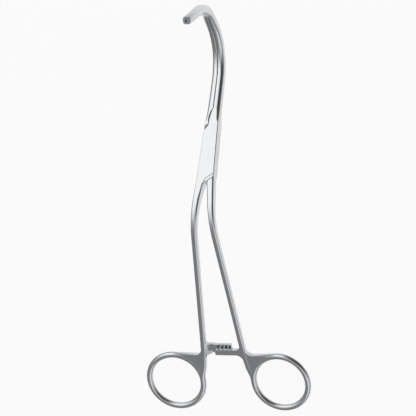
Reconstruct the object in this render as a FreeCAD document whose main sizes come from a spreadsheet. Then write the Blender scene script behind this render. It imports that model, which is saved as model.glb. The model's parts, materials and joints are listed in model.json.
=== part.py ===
"""Aortic clamp: two forged halves crossing in a box lock, held by one flush rivet.

The clamp is drawn about its rivet: X is the way the handles spread, Y runs along the box
lock towards the jaws and Z is the axis of the rivet.  All its bends lie in the Y-Z plane.
At the end it is laid down as it rests on a table, on both finger rings and on the heel of
the jaw bend, with the origin under the middle of the whole clamp.  All sizes are in mm.
"""
import FreeCAD, Part
import math
import os

Vector = FreeCAD.Vector

DRIVING_SIZES = [
    ("rivet_to_shank_bend", 39.0, "along the box lock, from the rivet to the corner of the shank bend"),
    ("handle_length", 116.6, "from the corner of the shank bend to the end of the rings"),
    ("shank_bend_angle", 43.0, "how far the handles are set back from the box lock, degrees"),
    ("shank_bend_radius", 28.0, "radius of that bend on the middle line"),
    ("rivet_to_heel", 59.0, "from the rivet to the corner of the jaw's heel"),
    ("heel_angle", 68.0, "turn of the jaws at the heel, degrees"),
    ("heel_radius", 28.0, "radius of the heel on the middle line"),
    ("heel_to_tip_bend", 35.9, "from the corner of the heel to the corner of the tip bend"),
    ("tip_bend_angle", 57.7, "further turn of the jaws before the tip, degrees"),
    ("tip_bend_radius", 16.0, "radius of the tip bend on the middle line"),
    ("tip_length", 28.5, "from the corner of the tip bend to the end of the jaws"),
    ("ring_radius", 15.75, "finger ring, to the middle of its rod"),
    ("ring_rod_width", 3.4, "thickness of the rod of the finger ring"),
    ("ring_centre_out", 30.7, "from the middle plane to the centre of a ring"),
    ("web_thickness", 3.1, "flat web between shank and ring"),
    ("shank_spread_at_bend", 5.15, "from the middle plane to the shank at its bend"),
    ("shank_spread_at_ratchet", 11.6, "from the middle plane to the shank at the ratchet"),
    ("shank_width_top", 3.8, "width of a shank below the box lock"),
    ("shank_depth_top", 5.1, "depth of a shank below the box lock"),
    ("shank_width_end", 3.0, "width of a shank above the ratchet"),
    ("shank_depth_end", 3.3, "depth of a shank above the ratchet"),
    ("ratchet_above_ring_end", 35.6, "middle of the front ratchet arm above the end of the rings"),
    ("ratchet_front_reach", 4.6, "how far the front arm passes the middle plane"),
    ("ratchet_rear_reach", 3.9, "how far the rear arm passes the middle plane"),
    ("ratchet_arm_height", 3.0, "height of the front arm"),
    ("ratchet_extra_height", 1.7, "how much taller the rear arm is, where its teeth show"),
    ("ratchet_rear_depth", 2.3, "front to back of the rear arm"),
    ("ratchet_tooth_depth", 0.9, "depth of a ratchet tooth"),
    ("ratchet_pitch", 2.3, "from tooth to tooth on the ratchet"),
    ("ratchet_clearance", 0.2, "between the two toothed faces"),
    ("box_width", 8.8, "width of the box lock at the rivet"),
    ("box_depth", 6.1, "front to back of the box lock"),
    ("box_wall", 1.6, "front or back wall of the box lock"),
    ("box_top", 23.7, "from the rivet to the upper end of the box lock"),
    ("box_bottom", 15.5, "from the rivet to the middle of its slanted lower end"),
    ("box_end_slope", 0.75, "rise of that slant for each millimetre to the right"),
    ("box_end_notch", 0.3, "from the middle plane to the left end of that slant"),
    ("box_left_drop", 3.6, "how much lower the walls end left of that slant"),
    ("leaf_drop", 1.7, "from the shoulder down to the corner of the walls' upper left end"),
    ("leaf_slope", 1.45, "fall of that end for each millimetre to the left"),
    ("leaf_bevel_angle", 24.0, "slant of the bevel beside that corner, degrees"),
    ("box_shoulder", 15.6, "from the rivet to where the square box turns round towards the jaws"),
    ("box_edge", 0.45, "rounding of the long edges of the box lock"),
    ("lock_radius", 9.4, "round face inside the box on which the tongue turns"),
    ("lock_clearance", 0.1, "running clearance between the box and the tongue"),
    ("wall_end_gap", 0.35, "gap between the ends of the walls and the crossing half"),
    ("wall_end_bevel", 0.7, "bevel ground on the ends of the front wall"),
    ("land_width", 1.3, "raised land below the box lock, next to the lower end of its walls"),
    ("rivet_radius", 1.6, "radius of the rivet"),
    ("rivet_running_clearance", 0.05, "between the rivet and the tongue that turns on it"),
    ("rivet_seat_clearance", 0.01, "between the rivet and the walls that hold it"),
    ("jaw_gap", 0.08, "half of the gap between the closed jaws"),
    ("neck_width", 7.4, "width of both jaws at the box lock"),
    ("neck_depth", 5.8, "depth of the jaws at the box lock"),
    ("heel_width", 6.5, "width of both jaws at the heel"),
    ("heel_depth", 5.0, "depth of the jaws at the heel"),
    ("tip_width", 4.8, "width of both jaws at their end"),
    ("tip_depth", 4.5, "depth of the jaws at their end"),
    ("bite_length", 46.0, "toothed length of the right jaw, back from its end"),
    ("bite_pitch", 1.3, "from tooth to tooth along the right jaw"),
    ("bite_tooth_height", 0.4, "height of the teeth of the right jaw"),
    ("bite_groove_width", 1.2, "groove in the left jaw, for the row of teeth of the right jaw"),
    ("bite_groove_depth", 0.6, "depth of that groove"),
]

doc = FreeCAD.newDocument("aortic_clamp")
sheet = doc.addObject("Spreadsheet::Sheet", "sizes")
for row, (alias, value, meaning) in enumerate(DRIVING_SIZES, start=1):
    sheet.set("A%d" % row, str(value))
    sheet.setAlias("A%d" % row, alias)
    sheet.set("B%d" % row, meaning)
doc.recompute()


def size(alias):
    """The value of one driving size."""
    return float(sheet.get(alias))


# The middle line of the clamp, seen from the side

def middle_line():
    """Legs of the line from the rivet to the jaw tips, then from the rivet to the ring ends."""
    def tangent(radius, angle):
        return size(radius) * math.tan(math.radians(size(angle)) / 2)
    heel_cut = tangent("heel_radius", "heel_angle")
    tip_cut = tangent("tip_bend_radius", "tip_bend_angle")
    shank_cut = tangent("shank_bend_radius", "shank_bend_angle")
    upward = [
        (size("rivet_to_heel") - heel_cut, 0.0, 0.0),
        (0.0, size("heel_radius"), size("heel_angle")),
        (size("heel_to_tip_bend") - heel_cut - tip_cut, 0.0, 0.0),
        (0.0, size("tip_bend_radius"), size("tip_bend_angle")),
        (size("tip_length") - tip_cut, 0.0, 0.0),
    ]
    downward = [
        (size("rivet_to_shank_bend") - shank_cut, 0.0, 0.0),
        (0.0, size("shank_bend_radius"), size("shank_bend_angle")),
        (size("handle_length") - shank_cut, 0.0, 0.0),
    ]
    return upward, downward


UPWARD, DOWNWARD = middle_line()


def leg_length(leg):
    """Length of one leg, a straight or an arc."""
    straight, radius, angle = leg
    return straight + radius * math.radians(angle)


def walk(distance):
    """Point (y, z) and heading at a distance along the middle line: up is plus, down is minus."""
    legs = UPWARD if distance >= 0 else DOWNWARD
    sign = 1 if distance >= 0 else -1
    left = abs(distance)
    y, z, heading = 0.0, 0.0, 0.0
    for index, leg in enumerate(legs):
        straight, radius, angle = leg
        last = index == len(legs) - 1
        step = left if last else min(left, leg_length(leg))
        if radius:
            turned = heading + step / radius
            y += sign * radius * (math.sin(turned) - math.sin(heading))
            z += sign * radius * (math.cos(heading) - math.cos(turned))
            heading = turned
        else:
            y += sign * step * math.cos(heading)
            z += sign * step * math.sin(heading)
        left -= step
        if left <= 1e-9:
            break
    return y, z, heading


def leg_ends(legs):
    """Distances from the rivet to the end of each leg."""
    ends, total = [], 0.0
    for leg in legs:
        total += leg_length(leg)
        ends.append(total)
    return ends


HEEL_START, HEEL_END, TIP_BEND_START, TIP_BEND_END, JAW_END = leg_ends(UPWARD)
SHANK_BEND_START, SHANK_BEND_END, HANDLE_END = leg_ends(DOWNWARD)


def bend_stations(start, end, angle):
    """Evenly spaced distances round a bend, one for about every eight degrees."""
    count = max(2, round(size(angle) / 8))
    return [start + (end - start) * index / count for index in range(count + 1)]


JAW_BENDS = bend_stations(HEEL_START, HEEL_END, "heel_angle") + bend_stations(
    TIP_BEND_START, TIP_BEND_END, "tip_bend_angle")
SHANK_BENDS = [-station for station in bend_stations(
    SHANK_BEND_START, SHANK_BEND_END, "shank_bend_angle")]


def place(side, distance, across, lift):
    """Point beside the middle line: across is outwards from the middle plane, lift square to it."""
    y, z, heading = walk(distance)
    return Vector(side * across, y - lift * math.sin(heading), z + lift * math.cos(heading))


CORNER_STEPS = 4
SHANK_ROUND = 0.28
ROD_ROUND = 0.42


def section(side, distance, inner, outer, depth, inner_round, outer_round):
    """Outline of a forged bar, square to the middle line; each corner is rounded in a few steps."""
    half = depth / 2
    corners = [
        (outer - outer_round, outer_round - half, outer_round),
        (outer - outer_round, half - outer_round, outer_round),
        (inner + inner_round, half - inner_round, inner_round),
        (inner + inner_round, inner_round - half, inner_round),
    ]
    points = []
    for index, (across, lift, radius) in enumerate(corners):
        for step in range(CORNER_STEPS + 1):
            turn = math.radians(90 * (index - 1 + step / CORNER_STEPS))
            points.append(place(side, distance, across + radius * math.cos(turn),
                                lift + radius * math.sin(turn)))
    return Part.makePolygon(points + points[:1])


def bar(name, side, keys, bends):
    """A forged bar lofted through its key sections, with more sections round its bends."""
    first, last = keys[0][0], keys[-1][0]
    stations = sorted({round(value, 6) for value in [key[0] for key in keys] + bends
                       if first <= value <= last})
    sections = []
    for station in stations:
        for lower, upper in zip(keys, keys[1:]):
            if station <= upper[0] + 1e-6:
                break
        share = (station - lower[0]) / (upper[0] - lower[0])
        values = [low + share * (high - low) for low, high in zip(lower[1:], upper[1:])]
        sections.append(section(side, station, *values))
    feature = doc.addObject("Part::Feature", name)
    feature.Shape = Part.makeLoft(sections, True, True)
    return feature


# Flat outlines: a corner is (x, y), a round stretch is ((x, y) on the way, (x, y) at its end)

def outline_curves(outline, side=1):
    """Lines and arcs of a closed outline, mirrored to the left where side is minus."""
    def point(pair):
        return Vector(side * pair[0], pair[1], 0)
    finish = outline[-1]
    start = point(finish[1] if isinstance(finish[0], tuple) else finish)
    curves = []
    for item in outline:
        if isinstance(item[0], tuple):
            end = point(item[1])
            curves.append(Part.Arc(start, point(item[0]), end))
        else:
            end = point(item)
            curves.append(Part.LineSegment(start, end))
        start = end
    return curves


def outline_wire(outline, height):
    """Closed wire of an outline at a height."""
    wire = Part.Wire([curve.toShape() for curve in outline_curves(outline)])
    wire.translate(Vector(0, 0, height))
    return wire


def slab(name, outline, low, high, upper_outline=None):
    """Flat slab between two heights; its upper outline may differ, which slants its ends."""
    feature = doc.addObject("Part::Feature", name)
    if upper_outline:
        ends = [outline_wire(outline, low), outline_wire(upper_outline, high)]
        feature.Shape = Part.makeLoft(ends, True, True)
    else:
        feature.Shape = Part.Face(outline_wire(outline, low)).extrude(Vector(0, 0, high - low))
    return feature


def joined(name, parts):
    """Fuse several pieces into one."""
    fuse = doc.addObject("Part::MultiFuse", name)
    fuse.Shapes = parts
    fuse.Refine = True
    return fuse


def cut_away(name, base, tool):
    """Cut one piece out of another."""
    cut = doc.addObject("Part::Cut", name)
    cut.Base = base
    cut.Tool = tool
    cut.Refine = True
    return cut


def common(name, base, tool):
    """Keep what two pieces share."""
    shared = doc.addObject("Part::MultiCommon", name)
    shared.Shapes = [base, tool]
    shared.Refine = True
    return shared


# The handle plane: local x across, local y up from the ring ends, local z to the front

def handle_frame():
    """Placement of the plane that holds rings, webs and ratchet."""
    turn = math.radians(size("shank_bend_angle"))
    base = Vector(0, -size("rivet_to_shank_bend") - size("handle_length") * math.cos(turn),
                  -size("handle_length") * math.sin(turn))
    return FreeCAD.Placement(base, FreeCAD.Rotation(Vector(1, 0, 0), size("shank_bend_angle")))


HANDLE = handle_frame()
RING_OUTER = size("ring_radius") + size("ring_rod_width") / 2
RING_CENTRE_UP = RING_OUTER
ARM_LOW = size("ratchet_above_ring_end") - size("ratchet_arm_height") / 2
ARM_HIGH = ARM_LOW + size("ratchet_arm_height")
ARM_BACK = -size("web_thickness") / 2


def up_to_distance(up):
    """Distance along the middle line of a height above the ring ends."""
    return -(HANDLE_END - up)


def ring_point(angle, radius):
    """Point on a circle about a ring's centre; the angle starts at the inner side, going up."""
    turn = math.radians(180 - angle)
    return (size("ring_centre_out") + radius * math.cos(turn), RING_CENTRE_UP + radius * math.sin(turn))


def shank_across(up):
    """Distance from the middle plane to a shank's middle at a height above the ring ends."""
    low = size("ratchet_above_ring_end")
    share = (up - low) / (size("handle_length") - low)
    near, far = size("shank_spread_at_ratchet"), size("shank_spread_at_bend")
    return near + share * (far - near)


def shank_edge(up, outwards):
    """Inner or outer edge of a shank at a height above the ring ends."""
    return shank_across(up) + outwards * size("shank_width_end") / 2


def origin_plane(body, role):
    """One of the body's own origin planes."""
    for feature in body.Origin.OriginFeatures:
        if feature.Role == role:
            return feature
    raise ValueError(role)


def padded_body(name, outline, side, thickness):
    """A body of one pad on the handle plane, as far to the front as to the back."""
    body = doc.addObject("PartDesign::Body", name)
    sketch = body.newObject("Sketcher::SketchObject", name + "_outline")
    sketch.AttachmentSupport = (origin_plane(body, "XY_Plane"), [""])
    sketch.MapMode = "FlatFace"
    for curve in outline_curves(outline, side):
        sketch.addGeometry(curve, False)
    pad = body.newObject("PartDesign::Pad", name + "_pad")
    pad.Profile = sketch
    pad.Midplane = True
    pad.setExpression("Length", thickness)
    body.Tip = pad
    body.Placement = HANDLE
    return body


def finger_ring(name, side):
    """A finger ring: its rod, with sixteen narrow faces, turned about the ring's centre."""
    rod = doc.addObject("Part::RegularPolygon", name + "_rod")
    rod.Polygon = 16
    rod.setExpression("Circumradius", "sizes.ring_rod_width / 2")
    upright = FreeCAD.Rotation(Vector(1, 0, 0), 90)
    rod.Placement = FreeCAD.Placement(Vector(side * size("ring_radius"), 0, 0), upright)
    ring = doc.addObject("Part::Revolution", name)
    ring.Source = rod
    ring.Axis = Vector(0, 0, 1)
    ring.Base = Vector(0, 0, 0)
    ring.Angle = 360
    ring.Solid = True
    centre = Vector(side * size("ring_centre_out"), RING_CENTRE_UP, 0)
    ring.Placement = HANDLE.multiply(FreeCAD.Placement(centre, FreeCAD.Rotation()))
    return ring


# The web runs up the shank above the front arm, sinks its end into the top of the ring's rod, and ends
# below on the ring's inner side, at this angle above its middle
WEB_RISE = 6.5
WEB_SINK = 0.15
WEB_FOOT_ANGLE = 6
# The hollow between shank and ring starts this far up the shank, ends this far out and below the ring's
# top, and its middle lies this far across and up
HOLLOW_UP = 1.8
HOLLOW_OUT = 4.6
HOLLOW_DOWN = 0.9
HOLLOW_MIDDLE = (1.6, 1.0)


def web(name, side):
    """Flat web in the corner between shank and ring, flush with both."""
    middle = size("ring_radius")
    top = ARM_HIGH + WEB_RISE
    shelf = ring_point(90, RING_OUTER - WEB_SINK)
    round_off = SHANK_ROUND * size("shank_width_end")
    hollow_start = (shank_edge(ARM_HIGH + HOLLOW_UP, 1) - round_off / 2, ARM_HIGH + HOLLOW_UP)
    hollow_end = (shank_edge(ARM_HIGH, 1) + HOLLOW_OUT, shelf[1] - HOLLOW_DOWN)
    hollow = (hollow_start[0] + HOLLOW_MIDDLE[0], hollow_end[1] + HOLLOW_MIDDLE[1])
    outline = [
        (shank_across(top), top),
        (shank_edge(top, 1) - round_off, top),
        hollow_start,
        (hollow, hollow_end),
        shelf,
        ring_point(90, middle),
        (ring_point((90 + WEB_FOOT_ANGLE) / 2, middle), ring_point(WEB_FOOT_ANGLE, middle)),
        (shank_edge(ARM_LOW, -1) + 2.5, ring_point(34, middle)[1]),
    ]
    return padded_body(name, outline, side, "sizes.web_thickness")


def shank(name, side, top_keys):
    """The shank from the box lock round its bend down to the side of the ring."""
    top_w, top_d = size("shank_width_top"), size("shank_depth_top")
    end_w, end_d = size("shank_width_end"), size("shank_depth_end")
    rod = size("ring_rod_width")
    slope = size("shank_spread_at_bend") / size("rivet_to_shank_bend")

    def key(distance, across, width, depth, share):
        corner = share * min(width, depth)
        return distance, across - width / 2, across + width / 2, depth, corner, corner

    def blend(share):
        return top_w + share * (end_w - top_w), top_d + share * (end_d - top_d)
    bend_middle = (SHANK_BEND_START + SHANK_BEND_END) / 2
    handle_up = HANDLE_END - SHANK_BEND_END
    ring_side = size("ring_centre_out") - size("ring_radius")
    flank_up = ring_point(33, size("ring_radius"))[1]
    flank_across = (ring_side + shank_across(ARM_LOW)) / 2 - 0.1
    straight_up = (ARM_HIGH + handle_up) / 2
    keys = [
        key(up_to_distance(RING_CENTRE_UP - 1.5), ring_side, rod * 0.85, rod * 0.85, ROD_ROUND),
        key(up_to_distance(RING_CENTRE_UP + 3.0), ring_side - 0.05, rod, rod * 0.96, ROD_ROUND),
        key(up_to_distance(flank_up), flank_across, end_w + 0.2, end_d, 0.3),
        key(up_to_distance(ARM_LOW), shank_across(ARM_LOW) + 0.1, end_w + 0.1, end_d, SHANK_ROUND),
        key(up_to_distance(ARM_HIGH + 5), shank_across(ARM_HIGH + 5), end_w, end_d, SHANK_ROUND),
        key(up_to_distance(straight_up), shank_across(straight_up), *blend(0.95), SHANK_ROUND),
        key(-SHANK_BEND_END, shank_across(handle_up), *blend(0.75), SHANK_ROUND),
        key(-bend_middle, slope * bend_middle + 0.05, *blend(0.5), SHANK_ROUND),
        key(-SHANK_BEND_START, slope * SHANK_BEND_START + 0.45, top_w, top_d, 0.26),
    ]
    return bar(name, side, keys + top_keys, SHANK_BENDS)


# The ratchet

# Four notches in each arm lean to the right on their way up; their steep flank takes this share of a pitch
NOTCH_COUNT = 4
NOTCH_LEAN = 0.6
NOTCH_FLANK = 0.15


def tooth_row(name, side, start, face, inwards):
    """Slanted saw-tooth notches to cut into a flat face of the handle plane."""
    pitch, proud, past = size("ratchet_pitch"), 0.15, 1.0
    low, high = ARM_LOW - past, ARM_HIGH + size("ratchet_extra_height") + past
    slant = Vector(NOTCH_LEAN * (high - low), high - low, 0)
    prisms = []
    for index in range(NOTCH_COUNT):
        x = start + side * index * pitch
        profile = [Vector(x, low, face - inwards * proud),
                   Vector(x + side * NOTCH_FLANK * pitch, low, face + inwards * size("ratchet_tooth_depth")),
                   Vector(x + side * (1 - NOTCH_FLANK) * pitch, low, face - inwards * proud)]
        prisms.append(Part.Face(Part.makePolygon(profile + profile[:1])).extrude(slant))
    feature = doc.addObject("Part::Feature", name)
    feature.Shape = Part.makeCompound(prisms)
    feature.Placement = HANDLE
    return feature


def front_arm():
    """Ratchet arm of the right handle, as thick as the shank, with its teeth at the back."""
    reach = size("ratchet_front_reach")
    root_low = shank_edge(ARM_LOW, -1)
    flare, fillet_top = ARM_LOW - 5.6, ARM_HIGH + 3.2
    tip_round, tip_cut = 0.5, 0.15
    outline = [
        (root_low - 2.4, ARM_LOW),
        ((root_low + 0.35, ARM_LOW - 1.75), (root_low + 1.75, flare)),
        (shank_across(ARM_LOW), flare),
        (shank_across(ARM_HIGH), fillet_top),
        (shank_edge(ARM_HIGH, -1) + 0.5, fillet_top),
        ((shank_edge(ARM_HIGH, -1) - 0.75, ARM_HIGH + 0.75), (shank_edge(ARM_HIGH, -1) - 3.0, ARM_HIGH)),
        (-reach + tip_round, ARM_HIGH),
        ((-reach + tip_cut, ARM_HIGH - tip_cut), (-reach, ARM_HIGH - tip_round)),
        (-reach, ARM_LOW + tip_round),
        ((-reach + tip_cut, ARM_LOW + tip_cut), (-reach + tip_round, ARM_LOW)),
    ]
    arm = padded_body("front_arm", outline, 1, "sizes.web_thickness")
    return cut_away("front_arm_toothed", arm, tooth_row("front_teeth", 1, -reach + 0.4, ARM_BACK, 1))


def rear_arm():
    """Ratchet arm of the left handle: it steps back behind the front arm, teeth to the front."""
    high = ARM_HIGH + size("ratchet_extra_height")
    front = ARM_BACK - size("ratchet_clearance")
    back = front - size("ratchet_rear_depth")
    half = size("web_thickness") / 2
    root = shank_edge(ARM_LOW, -1)
    stations = [
        (-root - 1.5, ARM_LOW - 3.6, high + 4.2, -half, half - 0.2),
        (-root + 0.2, ARM_LOW - 0.9, high + 2.4, -half, half - 0.1),
        (-root + 0.8, ARM_LOW - 0.3, high + 1.4, -half - 0.4, half - 0.3),
        (-root + 3.2, ARM_LOW, high + 0.3, back, front),
        (-root + 5.0, ARM_LOW, high, back, front),
        (size("ratchet_rear_reach"), ARM_LOW, high, back, front),
    ]
    frames = []
    for x, low, top, rear, ahead in stations:
        corners = [Vector(x, low, rear), Vector(x, top, rear), Vector(x, top, ahead), Vector(x, low, ahead)]
        frames.append(Part.makePolygon(corners + corners[:1]))
    arm = doc.addObject("Part::Feature", "rear_arm")
    arm.Shape = Part.makeLoft(frames, True, True)
    arm.Placement = HANDLE
    start = size("ratchet_rear_reach") - 2.4
    return cut_away("rear_arm_toothed", arm, tooth_row("rear_teeth", -1, start, front, -1))


# The box lock: outlines in the X-Y plane of the rivet

LOCK_REACH = size("box_width") + size("box_top")
LOCK_LOW = -size("box_bottom") - size("box_left_drop")
LEAF_ACROSS = -size("box_width") / 6
LEAF_UP = size("box_shoulder") - size("leaf_drop")
# On the crossing half the ledge under the walls' upper left end sinks less steeply, from a little higher up
LEDGE_RISE = 0.35
LEDGE_EASING = 0.9


def box_half_width(up):
    """Half of the width of the box lock at a height above the rivet."""
    slope = (size("neck_width") - size("box_width")) / size("box_top")
    return (size("box_width") + slope * up) / 2


def lower_end(x, drop=0.0):
    """Height of the slanted lower end of the walls, rising to the right."""
    return -size("box_bottom") - drop + size("box_end_slope") * (x - size("box_width") / 4)


def wall_outline(gap=0.0, ramp=0.0):
    """Outline of the walls; gap moves their ends outwards, ramp opens their upper left end more."""
    top, wide = size("box_top"), LOCK_REACH
    shoulder, notch = size("box_shoulder"), size("box_end_notch")
    corner = (LEAF_ACROSS - gap, LEAF_UP + gap + LEDGE_RISE * ramp)
    slope = size("leaf_slope") - LEDGE_EASING * min(1.0, ramp)
    return [
        (wide, top + wide),
        (wide, lower_end(wide, gap)),
        (-notch - gap, lower_end(-notch, gap)),
        (-3 * notch, LOCK_LOW - gap),
        (-wide, LOCK_LOW - gap),
        (-wide, corner[1] - slope * (wide + corner[0])),
        corner,
        ((-size("box_width") / 4.8 - gap, shoulder + 1.6 + gap / 2), (size("jaw_gap") - gap, top)),
        (size("jaw_gap") - gap, top + wide),
    ]


def lock_region(clearance, lower_right=None):
    """The part of the lock that the crossing half takes up: upper left, middle and lower right."""
    radius, wide = size("lock_radius") - clearance, LOCK_REACH
    reach = math.sqrt(radius ** 2 - clearance ** 2)
    slant = radius * math.sqrt(0.5)
    ends = lower_right or [(wide, -wide), (clearance, -wide)]
    return [
        (-wide, wide), (-clearance, wide), (-clearance, reach),
        ((slant, slant), (radius, 0.0)), (wide, 0.0),
    ] + ends + [
        (clearance, -reach), ((-slant, -slant), (-radius, 0.0)), (-wide, 0.0),
    ]


def lock_form(name):
    """Outer form of the whole lock: a square box that turns round above its shoulder."""
    def key(up, depth, corner):
        half = box_half_width(up)
        return up, -half, half, depth, corner, corner
    edge, depth, shoulder = size("box_edge"), size("box_depth"), size("box_shoulder")
    neck_round = 0.36 * size("neck_depth")
    keys = [
        key(LOCK_LOW, depth, edge),
        key(shoulder, depth, edge),
        key(shoulder + 2.0, depth - 0.05, 0.75 * neck_round),
        key(size("box_top"), size("neck_depth"), neck_round),
    ]
    return bar(name, 1, keys, [])


def bevel_tool(name, start, end, angle):
    """Block whose lower face is a bevel along the line from start to end, sinking to the left."""
    along = Vector(end[0] - start[0], end[1] - start[1], 0)
    heading = math.degrees(math.atan2(along.y, along.x))
    block = doc.addObject("Part::Box", name)
    block.Length = along.Length
    block.Width = 8
    block.Height = 4
    corner = FreeCAD.Placement(Vector(start[0], start[1], size("box_depth") / 2),
                               FreeCAD.Rotation(Vector(0, 0, 1), heading))
    tilt = FreeCAD.Placement(Vector(), FreeCAD.Rotation(Vector(1, 0, 0), -angle))
    block.Placement = corner.multiply(tilt)
    return block


def jaw(name, side):
    """One jaw, from the upper end of the box lock to its tip, flat where the two jaws meet."""
    gap = size("jaw_gap")

    def key(distance, width, depth, edge, share):
        return distance, gap, width / 2, depth, edge, share * depth
    neck_w, neck_d = size("neck_width"), size("neck_depth")
    heel_w, heel_d = size("heel_width"), size("heel_depth")
    tip_w, tip_d = size("tip_width"), size("tip_depth")
    keys = [
        key(size("box_top"), neck_w, neck_d, 0.3, 0.36),
        key(HEEL_START, (neck_w + heel_w) / 2, (neck_d + heel_d) / 2, 0.3, 0.36),
        key((HEEL_START + HEEL_END) / 2, heel_w, heel_d, 0.35, 0.38),
        key(HEEL_END, heel_w, heel_d, 0.35, 0.38),
        key(JAW_END - 0.8, tip_w, tip_d, 0.3, 0.36),
        key(JAW_END, tip_w - 0.8, tip_d - 0.8, 0.3, 0.3),
    ]
    return bar(name, side, keys, JAW_BENDS)


def bite_row(name, side, lift, width):
    """Row of small pointed teeth standing on the flat face of a jaw."""
    pitch, height = size("bite_pitch"), size("bite_tooth_height")
    root = size("jaw_gap") + 0.15
    count = int(size("bite_length") / pitch)
    teeth = []
    for index in range(count):
        start = JAW_END - 1.0 - (index + 1) * pitch
        ends = []
        for edge in (lift - width / 2, lift + width / 2):
            corners = [place(side, start + 0.02, root, edge), place(side, start + pitch - 0.02, root, edge),
                       place(side, start + pitch / 2, root - 0.15 - height, edge)]
            ends.append(Part.makePolygon(corners + corners[:1]))
        teeth.append(Part.makeLoft(ends, True, True))
    feature = doc.addObject("Part::Feature", name)
    feature.Shape = Part.makeCompound(teeth)
    return feature


def bite_groove(name, side):
    """Channel along the flat face of a jaw, open at the tip."""
    first = JAW_END - size("bite_length") - 1.0
    half = size("bite_groove_width") / 2
    depth = size("bite_groove_depth")
    stations = [first] + [station for station in JAW_BENDS if station > first] + [JAW_END + 1.0]
    frames = []
    for station in stations:
        corners = [place(side, station, -1.0, -half), place(side, station, -1.0, half),
                   place(side, station, size("jaw_gap") + depth, half),
                   place(side, station, size("jaw_gap") + depth, -half)]
        frames.append(Part.makePolygon(corners + corners[:1]))
    feature = doc.addObject("Part::Feature", name)
    feature.Shape = Part.makeLoft(frames, True, True)
    return feature


def rivet_bore(name, radius, reach=20.0):
    """Straight bore or rod on the rivet's axis."""
    bore = doc.addObject("Part::Cylinder", name)
    bore.setExpression("Radius", radius)
    bore.Height = reach
    bore.Placement = FreeCAD.Placement(Vector(0, 0, -reach / 2), FreeCAD.Rotation())
    return bore


def female_half():
    """Left ring and shank, right jaw, and the box that the other half passes through."""
    half_depth = size("box_depth") / 2
    cavity = half_depth - size("box_wall")
    notch, bevel = size("box_end_notch"), size("wall_end_bevel")
    walls = common("female_walls", slab("female_slab", wall_outline(), -half_depth, half_depth),
                   lock_form("female_form"))
    box = cut_away("female_box", walls, slab("female_slot", lock_region(0.0), -cavity, cavity))
    leaf = bevel_tool("leaf_bevel_tool", (LEAF_ACROSS, LEAF_UP), (0.5, size("box_top")),
                      size("leaf_bevel_angle"))
    end = bevel_tool("end_bevel_tool", (8.0, lower_end(8.0, -bevel)), (-notch, lower_end(-notch, -bevel)), 45)
    bevelled = cut_away("female_end_bevel", cut_away("female_leaf_bevel", box, leaf), end)
    half = box_half_width(LOCK_LOW) + 0.1
    top_keys = [(LOCK_LOW, 0.95, half, size("box_depth"), size("box_edge"), size("box_edge"))]
    whole = joined("female_joined", [
        bevelled, jaw("female_jaw", 1), bite_row("female_bite", 1, 0.0, 0.6 * size("bite_groove_width")),
        shank("female_shank", -1, top_keys), finger_ring("left_ring", -1), web("left_web", -1), rear_arm()])
    return cut_away("female_half_bored", whole, rivet_bore(
        "female_bore", "sizes.rivet_radius + sizes.rivet_seat_clearance"))


def male_half():
    """Right ring and shank, left jaw, and the tongue that passes through the box."""
    half_depth = size("box_depth") / 2
    clearance = size("lock_clearance")
    tongue = half_depth - size("box_wall") - clearance
    gap, wide = size("wall_end_gap"), LOCK_REACH
    land_end = gap + size("land_width")
    end = [(wide, lower_end(wide, land_end)), (clearance, lower_end(clearance, land_end))]
    core = common("male_core", slab("male_slab", lock_region(clearance, end), -half_depth, half_depth),
                  lock_form("male_form"))
    start = -size("box_bottom") + 2.0
    outer = box_half_width(start) - 0.15
    corner = 0.25 * size("shank_width_top")
    top_keys = [(start, 0.3, outer, size("shank_depth_top"), corner, corner)]
    left_jaw = cut_away("male_jaw_grooved", jaw("male_jaw", -1), bite_groove("male_groove", -1))
    whole = joined("male_joined", [core, left_jaw, shank("male_shank", 1, top_keys),
                                   finger_ring("right_ring", 1), web("right_web", 1), front_arm()])
    front = slab("male_front_relief", wall_outline(gap), tongue, half_depth + 0.01, wall_outline(gap, 1.0))
    back = slab("male_back_relief", wall_outline(gap), -half_depth - 1.0, -tongue)
    relieved = cut_away("male_relieved", cut_away("male_front_cut", whole, front), back)
    return cut_away("male_half_bored", relieved, rivet_bore(
        "male_bore", "sizes.rivet_radius + sizes.rivet_running_clearance"))


def joint_pin():
    """Rivet, ground flush with the front and back of the box lock."""
    rivet = rivet_bore("rivet", "sizes.rivet_radius", size("box_depth"))
    rivet.setExpression("Height", "sizes.box_depth")
    return rivet


def resting_turn():
    """Angle about X that lays the clamp on both ring ends and on the heel of its jaws."""
    ring_rod = size("ring_rod_width") / 2
    ring_end = HANDLE.multVec(Vector(0, RING_CENTRE_UP - size("ring_radius"), 0))
    y, z, heading = walk(HEEL_START)
    radius = size("heel_radius")
    heel_centre = Vector(0, y - radius * math.sin(heading), z + radius * math.cos(heading))
    heel_reach = radius + size("heel_depth") / 2
    span = heel_centre - ring_end
    slope = math.atan2(span.z, span.y)
    rise = math.asin((heel_reach - ring_rod) / math.hypot(span.y, span.z))
    return FreeCAD.Rotation(Vector(1, 0, 0), math.degrees(rise - slope))


female = female_half()
male = male_half()
pin = joint_pin()
doc.recompute()
for obj in doc.Objects:
    if "Invalid" in obj.State or "Error" in obj.State:
        raise RuntimeError("%s is %s" % (obj.Name, obj.State))

turn = resting_turn()
boxes = []
for piece in (female, male):
    laid = piece.Shape.copy()
    laid.Placement = FreeCAD.Placement(Vector(), turn)
    boxes.append(laid.optimalBoundingBox(False))
middle = (min(box.YMin for box in boxes) + max(box.YMax for box in boxes)) / 2
lowest = min(box.ZMin for box in boxes)
rest = FreeCAD.Placement(Vector(0, -middle, -lowest), turn)

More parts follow.
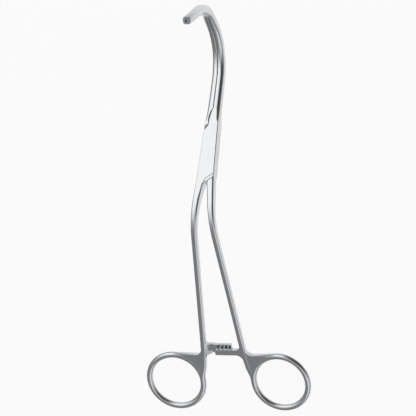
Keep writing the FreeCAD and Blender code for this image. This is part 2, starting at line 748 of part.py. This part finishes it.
os.makedirs("parts", exist_ok=True)
SUBPARTS = {"female_half": female, "male_half": male, "joint_pin": pin}
for label, piece in SUBPARTS.items():
    piece.Label = label
    piece.Placement = rest.multiply(piece.Placement)
doc.recompute()
for label, piece in SUBPARTS.items():
    shape = piece.Shape
    if shape.isNull() or not shape.isValid() or len(shape.Solids) != 1:
        raise RuntimeError("%s: null %s, valid %s, solids %d" % (
            label, shape.isNull(), shape.isValid(), len(shape.Solids)))
    shape.exportStep("parts/%s.step" % label)
    box = shape.optimalBoundingBox(False)
    print(label, "volume", round(shape.Volume, 1), "faces", len(shape.Faces), "box",
          [round(v, 3) for v in (box.XMin, box.XMax, box.YMin, box.YMax, box.ZMin, box.ZMax)])
print("rivet at", [round(v, 5) for v in rest.Base], "axis",
      [round(v, 6) for v in rest.Rotation.multVec(Vector(0, 0, 1))])
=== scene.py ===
"""Aortic clamp in satin stainless steel, just above a white table.

Each forged half is a smooth copy of its solid, with the surface that such an instrument has:
glass-bead blasted steel, an even grey that mirrors the studio softly.
"""
import bpy
import json
import math
from mathutils import Matrix, Vector


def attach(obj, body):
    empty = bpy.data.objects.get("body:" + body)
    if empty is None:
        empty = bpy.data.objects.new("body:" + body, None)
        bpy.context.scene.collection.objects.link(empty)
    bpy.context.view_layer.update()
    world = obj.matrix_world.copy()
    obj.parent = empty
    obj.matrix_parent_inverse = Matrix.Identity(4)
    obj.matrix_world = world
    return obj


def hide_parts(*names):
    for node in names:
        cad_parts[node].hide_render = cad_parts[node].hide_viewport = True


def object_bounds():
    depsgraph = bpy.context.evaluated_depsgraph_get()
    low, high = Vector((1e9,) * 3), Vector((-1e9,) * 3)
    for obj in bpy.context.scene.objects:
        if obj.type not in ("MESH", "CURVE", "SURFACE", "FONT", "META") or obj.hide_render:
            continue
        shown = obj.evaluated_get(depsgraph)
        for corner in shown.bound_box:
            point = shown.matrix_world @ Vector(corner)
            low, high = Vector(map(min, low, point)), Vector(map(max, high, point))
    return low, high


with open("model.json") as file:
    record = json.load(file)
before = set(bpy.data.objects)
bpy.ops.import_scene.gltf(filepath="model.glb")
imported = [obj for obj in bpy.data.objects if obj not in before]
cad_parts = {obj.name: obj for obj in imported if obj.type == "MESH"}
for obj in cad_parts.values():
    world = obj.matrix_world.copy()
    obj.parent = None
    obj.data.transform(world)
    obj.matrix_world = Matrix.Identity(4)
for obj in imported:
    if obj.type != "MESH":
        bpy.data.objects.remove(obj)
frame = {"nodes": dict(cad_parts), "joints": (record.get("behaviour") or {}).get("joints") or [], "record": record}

bl_info = {
    "name": "Aortic clamp",
    "version": (1, 0, 0),
    "blender": (4, 5, 0),
    "location": "3D View > Sidebar > Clamp",
    "description": "Finishes an aortic clamp and sets its table, light and camera",
    "category": "Object",
}

CAD_BOX = [list(corner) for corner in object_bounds()]
MM = 0.001

# The photograph is 416 pixels square; the clamp's scale in it, and the pixel midway between
# the ends of its rings
PHOTO_PIXELS = 416
PIXEL_SIZE = 0.547 * MM
RING_END_PIXEL = (233.6, 411.0)

# The photograph is taken from the right, at an angle to the lock's axis, and a little rolled
TURN_RIGHT = math.radians(21.0)
LOCK_TO_VIEW = math.radians(17.0)
ROLL = math.radians(-0.55)

# Heights above the surface that the closed clamp lies on: the ends of its rings, and its middle
RING_END_HEIGHT = 1.2 * MM
MIDDLE_HEIGHT = 20.0 * MM

# Corners of neighbouring facets that lie closer together than this are one point
MERGE_DISTANCE = 1e-6

# Flat ground faces: below this place the handles' end, and along the lock from its rivet
RING_SIDE = -62.0 * MM
LOCK_ENDS = (-14.0 * MM, 15.0 * MM)
FLAT_WEIGHT = 90

# The web's end on top of each ring: how near the ring's top it lies, how high, how deep,
# and how far it is drawn in
WEB_END_REACH = 0.1 * MM
WEB_END_HEIGHT = 17.1 * MM
WEB_END_DEPTH = 1.3 * MM
WEB_END_DRAW = 0.36 * MM

# The steel: how much its tone and its roughness vary, and how deep its blasting marks are
TONE_RANGE = (0.93, 1.0)
ROUGHNESS_SPREAD = (-0.03, 0.05)
MARK_DEPTH = 0.02 * MM
MARK_STRENGTH = 0.15

# The lock's axis leans, so the ring of the opened half swings 14.1 mm lower than when the clamp is closed
TABLE_DROP = 14.5 * MM
TABLE_SPAN = 6.0

# The table glows as white as it is, apart from a tenth that stays matt and keeps the clamp's shadow.
# Mirrored in the steel it fades from the first slant to the second, where 0 is square on and 1 edge on.
TABLE_GLOW = 0.9
FADE_SLANTS = (0.3, 0.8)
FADE_WHITES = (1.0, 0.12)

# Where the studio changes its tone: from the rings' side to the jaws', from left to right, and far left
AHEAD_RANGE = (-0.50, 0.15)
ASIDE_RANGE = (-0.15, 0.22)
FAR_LEFT_RANGE = (-0.98, -0.75)

# The soft light: its direction from the clamp's middle, its distance and its width in metres
KEY_DIRECTION = (-0.34, 0.64, 0.69)
KEY_DISTANCE = 0.8
KEY_WIDTH = 0.8

# The sockets of a Mix node that mixes two colours
FIRST_COLOUR, SECOND_COLOUR, MIXED_COLOUR = 6, 7, 2


def linear(hex_colour):
    """An sRGB hex colour as linear red, green, blue and alpha."""
    def channel(value):
        share = value / 255
        return share / 12.92 if share <= 0.04045 else ((share + 0.055) / 1.055) ** 2.4
    number = int(hex_colour.lstrip("#"), 16)
    return tuple(channel((number >> shift) & 255) for shift in (16, 8, 0)) + (1.0,)


def add_node(tree, kind, links=None, **settings):
    """One shader node with its input values, its own settings, and the sockets that feed it."""
    node = tree.nodes.new(kind)
    for name, value in settings.items():
        if name in node.inputs:
            node.inputs[name].default_value = value
        else:
            setattr(node, name, value)
    for socket, source in (links or {}).items():
        tree.links.new(source, node.inputs[socket])
    return node


class ClampFinish(bpy.types.PropertyGroup):
    """Finish of the steel."""
    steel: bpy.props.StringProperty(
        name="Steel", description="sRGB colour of the blasted steel", default="#dcdddf")
    # Real blasting marks are under 0.1 mm, and are drawn coarser so that they show
    grain: bpy.props.FloatProperty(
        name="Grain", description="Size of the blasting marks", default=0.25 * MM, unit="LENGTH",
        precision=5)
    clouds: bpy.props.FloatProperty(
        name="Clouds", description="Size of the faint patches of tone", default=8.3 * MM, unit="LENGTH",
        precision=4)
    roughness: bpy.props.FloatProperty(
        name="Roughness", description="Roughness of the satin surface", default=0.25, min=0, max=1,
        subtype="FACTOR")
    smooth_angle: bpy.props.FloatProperty(
        name="Smooth angle", description="Edges sharper than this stay crisp", default=math.radians(32),
        subtype="ANGLE")


class ClampStage(bpy.types.PropertyGroup):
    """Table, light and camera."""
    table: bpy.props.StringProperty(
        name="Table", description="sRGB colour of the table", default="#ffffff")
    overhead: bpy.props.StringProperty(
        name="Overhead", description="sRGB colour of the white cloth above and behind", default="#f6f7f8")
    near_side: bpy.props.StringProperty(
        name="Near side", description="sRGB colour of the room on the side of the rings",
        default="#858688")
    left_side: bpy.props.StringProperty(
        name="Left side", description="sRGB colour of the room low on the left", default="#77787a")
    near_right: bpy.props.StringProperty(
        name="Near right", description="sRGB colour of the room past the right ring", default="#eeeff0")
    dark_side: bpy.props.StringProperty(
        name="Dark side", description="sRGB colour of the dark card on the right", default="#47484a")
    lens: bpy.props.FloatProperty(
        name="Lens", description="Focal length of the camera in millimetres", default=600.0, min=20,
        max=1000)
    key_power: bpy.props.FloatProperty(
        name="Key light", description="Power of the large soft light", default=0.75, min=0, unit="POWER")


def satin_steel(name, seed):
    """Martensitic stainless steel, hardened, glass-bead blasted: an even grey with a soft sheen."""
    finish = bpy.context.scene.clamp_finish
    material = bpy.data.materials.new(name)
    material.use_nodes = True
    tree = material.node_tree
    tree.nodes.clear()
    place = add_node(tree, "ShaderNodeTexCoord").outputs["Object"]
    shifted = add_node(tree, "ShaderNodeMapping", {"Vector": place}, Location=(seed, seed, 0.0))
    marks = add_node(tree, "ShaderNodeTexNoise", {"Vector": shifted.outputs["Vector"]},
                     Scale=1 / finish.grain, Detail=2.0, Roughness=0.6)
    clouds = add_node(tree, "ShaderNodeTexNoise", {"Vector": shifted.outputs["Vector"]},
                      Scale=1 / finish.clouds, Detail=3.0, Roughness=0.5)
    tone = add_node(tree, "ShaderNodeMapRange", {"Value": clouds.outputs["Fac"]},
                    **{"To Min": TONE_RANGE[0], "To Max": TONE_RANGE[1]})
    colour = add_node(tree, "ShaderNodeVectorMath", {1: tone.outputs["Result"]}, operation="MULTIPLY")
    colour.inputs[0].default_value = linear(finish.steel)[:3]
    smoothest, roughest = (finish.roughness + change for change in ROUGHNESS_SPREAD)
    gloss = add_node(tree, "ShaderNodeMapRange", {"Value": clouds.outputs["Fac"]},
                     **{"To Min": smoothest, "To Max": roughest})
    relief = add_node(tree, "ShaderNodeBump", {"Height": marks.outputs["Fac"]},
                      Strength=MARK_STRENGTH, Distance=MARK_DEPTH)
    shader = add_node(tree, "ShaderNodeBsdfPrincipled",
                      {"Base Color": colour.outputs["Vector"], "Roughness": gloss.outputs["Result"],
                       "Normal": relief.outputs["Normal"]}, Metallic=1.0)
    add_node(tree, "ShaderNodeOutputMaterial", {"Surface": shader.outputs["BSDF"]})
    return material


def on_flats(place):
    """Whether a point is on the box lock, the ratchet, the webs or the rings, which have flat faces."""
    joint = frame["joints"][0]
    axis = Vector(joint["axis"]).normalized()
    up_the_lock = Vector((0, axis.z, -axis.y))
    height = (place - Vector(joint["pos_m"])).dot(up_the_lock)
    return place.y < RING_SIDE or LOCK_ENDS[0] < height < LOCK_ENDS[1]


def merge_web_end(piece, mount):
    """Draw the square end of a web in to the ring's rod, as the ground edge runs out on the ring."""
    centre, front = Vector(mount["pos_m"]), Vector(mount["axis"]).normalized()
    upward = Vector((0, front.z, -front.y))
    for side in (1, -1):
        bpy.ops.object.mode_set(mode="EDIT")
        bpy.ops.mesh.select_all(action="DESELECT")
        bpy.ops.object.mode_set(mode="OBJECT")
        for vertex in piece.data.vertices:
            away = vertex.co - centre
            vertex.select = (abs(away.x) < WEB_END_REACH and away.dot(upward) > WEB_END_HEIGHT
                             and away.dot(front) * side > WEB_END_DEPTH)
        bpy.ops.object.mode_set(mode="EDIT")
        bpy.ops.transform.translate(value=-(upward + front * side) * WEB_END_DRAW)
        bpy.ops.object.mode_set(mode="OBJECT")


def finished_copy(node, name, body, material, mount=None):
    """A copy of a solid with its facets merged and its curved faces shaded smooth."""
    bpy.ops.object.select_all(action="DESELECT")
    source = frame["nodes"][node]
    piece = bpy.data.objects.new(name, source.data.copy())
    bpy.context.scene.collection.objects.link(piece)
    piece.data.materials.clear()
    piece.data.materials.append(material)
    bpy.context.view_layer.objects.active = piece
    piece.select_set(True)
    bpy.ops.mesh.customdata_custom_splitnormals_clear()
    bpy.ops.object.mode_set(mode="EDIT")
    bpy.ops.mesh.select_all(action="SELECT")
    bpy.ops.mesh.remove_doubles(threshold=MERGE_DISTANCE)
    bpy.ops.object.mode_set(mode="OBJECT")
    if mount:
        merge_web_end(piece, mount)
    bpy.ops.object.shade_smooth_by_angle(angle=bpy.context.scene.clamp_finish.smooth_angle)
    flats = piece.vertex_groups.new(name="flats")
    flats.add([vertex.index for vertex in piece.data.vertices if on_flats(vertex.co)], 1.0, "REPLACE")
    bpy.ops.object.modifier_add(type="WEIGHTED_NORMAL")
    even = piece.modifiers[-1]
    even.keep_sharp = True
    even.weight = FLAT_WEIGHT
    even.vertex_group = flats.name
    bpy.ops.object.modifier_apply(modifier=even.name)
    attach(piece, body)
    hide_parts(node)


class CLAMP_OT_halves(bpy.types.Operator):
    """Finish the two forged halves."""
    bl_idname = "clamp.halves"
    bl_label = "Forged halves"

    def execute(self, context):
        mounts = {mount["name"]: mount for mount in frame["record"]["mounts"]}
        finished_copy("female_half", "female_half_satin", "female",
                      satin_steel("satin_steel_female", 0.0), mounts["left_finger_ring"])
        finished_copy("male_half", "male_half_satin", "male",
                      satin_steel("satin_steel_male", 0.37), mounts["right_finger_ring"])
        return {"FINISHED"}


class CLAMP_OT_rivet(bpy.types.Operator):
    """Finish the rivet of the box lock."""
    bl_idname = "clamp.rivet"
    bl_label = "Rivet"

    def execute(self, context):
        finished_copy("joint_pin", "rivet_ground", "female",
                      satin_steel("ground_steel_pin", 0.71))
        return {"FINISHED"}


def photo_axes():
    """Right, up and towards-the-viewer directions of the photograph, in the clamp's frame."""
    lock_axis = Vector(frame["joints"][0]["axis"]).normalized()
    lock_slope = math.atan2(lock_axis.y, lock_axis.z)
    lean = lock_slope - LOCK_TO_VIEW
    level_up = Vector((0, math.cos(lean), -math.sin(lean)))
    front = Vector((0, math.sin(lean), math.cos(lean)))
    across = Vector((1, 0, 0))
    level_right = across * math.cos(TURN_RIGHT) - front * math.sin(TURN_RIGHT)
    towards = across * math.sin(TURN_RIGHT) + front * math.cos(TURN_RIGHT)
    right = level_right * math.cos(ROLL) - level_up * math.sin(ROLL)
    up = level_up * math.cos(ROLL) + level_right * math.sin(ROLL)
    return right, up, towards


class CLAMP_OT_stage(bpy.types.Operator):
    """Set the table, the light and the camera."""
    bl_idname = "clamp.stage"
    bl_label = "Table, light and camera"

    def execute(self, context):
        self.make_table()
        self.make_world()
        self.make_key_light()
        self.make_camera()
        return {"FINISHED"}

    def make_table(self):
        """A matt white table that shows as white to the camera and in the steel."""
        bpy.ops.object.select_all(action="DESELECT")
        bpy.ops.mesh.primitive_plane_add(size=TABLE_SPAN, location=(0, 0, -TABLE_DROP))
        table = bpy.context.object
        table.name = "table"
        material = bpy.data.materials.new("white_table")
        material.use_nodes = True
        tree = material.node_tree
        tree.nodes.clear()
        path = add_node(tree, "ShaderNodeLightPath")
        slant = add_node(tree, "ShaderNodeLayerWeight", Blend=0.5)
        fade = add_node(tree, "ShaderNodeMapRange", {"Value": slant.outputs["Facing"]},
                        **{"From Min": FADE_SLANTS[0], "From Max": FADE_SLANTS[1],
                           "To Min": FADE_WHITES[0], "To Max": FADE_WHITES[1]})
        mirrored = add_node(tree, "ShaderNodeMath",
                            {0: path.outputs["Is Glossy Ray"], 1: fade.outputs["Result"]},
                            operation="MULTIPLY")
        seen = add_node(tree, "ShaderNodeMath",
                        {0: path.outputs["Is Camera Ray"], 1: mirrored.outputs["Value"]},
                        operation="ADD", use_clamp=True)
        white = linear(bpy.context.scene.clamp_stage.table)
        matt = add_node(tree, "ShaderNodeBsdfDiffuse", Color=white)
        glow = add_node(tree, "ShaderNodeEmission", {"Strength": seen.outputs["Value"]}, Color=white)
        both = add_node(tree, "ShaderNodeMixShader",
                        {1: matt.outputs["BSDF"], 2: glow.outputs["Emission"]}, Fac=TABLE_GLOW)
        add_node(tree, "ShaderNodeOutputMaterial", {"Surface": both.outputs["Shader"]})
        table.data.materials.append(material)

    def make_world(self):
        """A studio of plain tones for the steel to mirror, which the camera sees as white."""
        settings = bpy.context.scene.clamp_stage
        world = bpy.data.worlds.new("studio")
        bpy.context.scene.world = world
        world.use_nodes = True
        tree = world.node_tree
        tree.nodes.clear()
        path = add_node(tree, "ShaderNodeLightPath")
        direction = add_node(tree, "ShaderNodeTexCoord").outputs["Generated"]
        along = add_node(tree, "ShaderNodeSeparateXYZ", {"Vector": direction})
        share = {}
        for side, axis, reach in (("ahead", "Y", AHEAD_RANGE), ("aside", "X", ASIDE_RANGE),
                                  ("inward", "X", FAR_LEFT_RANGE)):
            step = add_node(tree, "ShaderNodeMapRange", {"Value": along.outputs[axis]},
                            interpolation_type="SMOOTHSTEP",
                            **{"From Min": reach[0], "From Max": reach[1]})
            share[side] = step.outputs["Result"]
        room = add_node(tree, "ShaderNodeMix", {0: share["ahead"]}, data_type="RGBA")
        room.inputs[FIRST_COLOUR].default_value = linear(settings.near_side)
        room.inputs[SECOND_COLOUR].default_value = linear(settings.overhead)
        right = add_node(tree, "ShaderNodeMix", {0: share["ahead"]}, data_type="RGBA")
        right.inputs[FIRST_COLOUR].default_value = linear(settings.near_right)
        right.inputs[SECOND_COLOUR].default_value = linear(settings.dark_side)
        shade = add_node(tree, "ShaderNodeMix",
                         {0: share["aside"], FIRST_COLOUR: room.outputs[MIXED_COLOUR],
                          SECOND_COLOUR: right.outputs[MIXED_COLOUR]}, data_type="RGBA")
        whole = add_node(tree, "ShaderNodeMix",
                         {0: share["inward"], SECOND_COLOUR: shade.outputs[MIXED_COLOUR]},
                         data_type="RGBA")
        whole.inputs[FIRST_COLOUR].default_value = linear(settings.left_side)
        studio = add_node(tree, "ShaderNodeBackground", {"Color": whole.outputs[MIXED_COLOUR]},
                          Strength=1.0)
        plain = add_node(tree, "ShaderNodeBackground", Color=(1, 1, 1, 1), Strength=1.0)
        mixed = add_node(tree, "ShaderNodeMixShader",
                         {0: path.outputs["Is Camera Ray"], 1: studio.outputs["Background"],
                          2: plain.outputs["Background"]})
        add_node(tree, "ShaderNodeOutputWorld", {"Surface": mixed.outputs["Shader"]})

    def make_key_light(self):
        """One large soft light, high up on the left and past the jaws."""
        data = bpy.data.lights.new("key", "AREA")
        data.energy = bpy.context.scene.clamp_stage.key_power
        data.size = KEY_WIDTH
        lamp = bpy.data.objects.new("key", data)
        bpy.context.scene.collection.objects.link(lamp)
        away = Vector(KEY_DIRECTION).normalized()
        lamp.location = Vector((0, 0, MIDDLE_HEIGHT)) + away * KEY_DISTANCE
        lamp.rotation_euler = away.to_track_quat("Z", "Y").to_euler()

    def make_camera(self):
        """The camera where the photograph was taken from, with the clamp at the photograph's scale."""
        settings = bpy.context.scene.clamp_stage
        data = bpy.data.cameras.new("camera")
        data.lens = settings.lens
        data.sensor_width = 36.0
        camera = bpy.data.objects.new("camera", data)
        bpy.context.scene.collection.objects.link(camera)
        right, up, towards = photo_axes()
        ring_end = Vector((0, CAD_BOX[0][1], RING_END_HEIGHT))
        middle = PHOTO_PIXELS / 2
        target = (ring_end + right * (middle - RING_END_PIXEL[0]) * PIXEL_SIZE
                  + up * (RING_END_PIXEL[1] - middle) * PIXEL_SIZE)
        target += towards * (MIDDLE_HEIGHT - target.dot(towards))
        distance = PHOTO_PIXELS * PIXEL_SIZE * data.lens / data.sensor_width
        camera.matrix_world = Matrix((
            (right.x, up.x, towards.x, 0), (right.y, up.y, towards.y, 0),
            (right.z, up.z, towards.z, 0), (0, 0, 0, 1)))
        camera.location = target + towards * distance
        data.clip_start = 0.05
        data.clip_end = 40.0
        bpy.context.scene.camera = camera


class CLAMP_PT_panel(bpy.types.Panel):
    """Buttons for the clamp and its stage."""
    bl_idname = "CLAMP_PT_panel"
    bl_label = "Aortic clamp"
    bl_space_type = "VIEW_3D"
    bl_region_type = "UI"
    bl_category = "Clamp"

    def draw(self, context):
        for operator in OPERATORS:
            self.layout.operator(operator.bl_idname)
        for settings in (context.scene.clamp_finish, context.scene.clamp_stage):
            for name in settings.__annotations__:
                self.layout.prop(settings, name)


OPERATORS = (CLAMP_OT_halves, CLAMP_OT_rivet, CLAMP_OT_stage)
CLASSES = (ClampFinish, ClampStage) + OPERATORS + (CLAMP_PT_panel,)


def register():
    for cls in CLASSES:
        bpy.utils.register_class(cls)
    bpy.types.Scene.clamp_finish = bpy.props.PointerProperty(type=ClampFinish)
    bpy.types.Scene.clamp_stage = bpy.props.PointerProperty(type=ClampStage)


def unregister():
    del bpy.types.Scene.clamp_stage
    del bpy.types.Scene.clamp_finish
    for cls in reversed(CLASSES):
        bpy.utils.unregister_class(cls)


def main():
    register()
    bpy.context.scene.view_settings.view_transform = "Standard"
    bpy.ops.clamp.halves()
    bpy.ops.clamp.rivet()
    bpy.ops.clamp.stage()


if __name__ == "__main__":
    main()
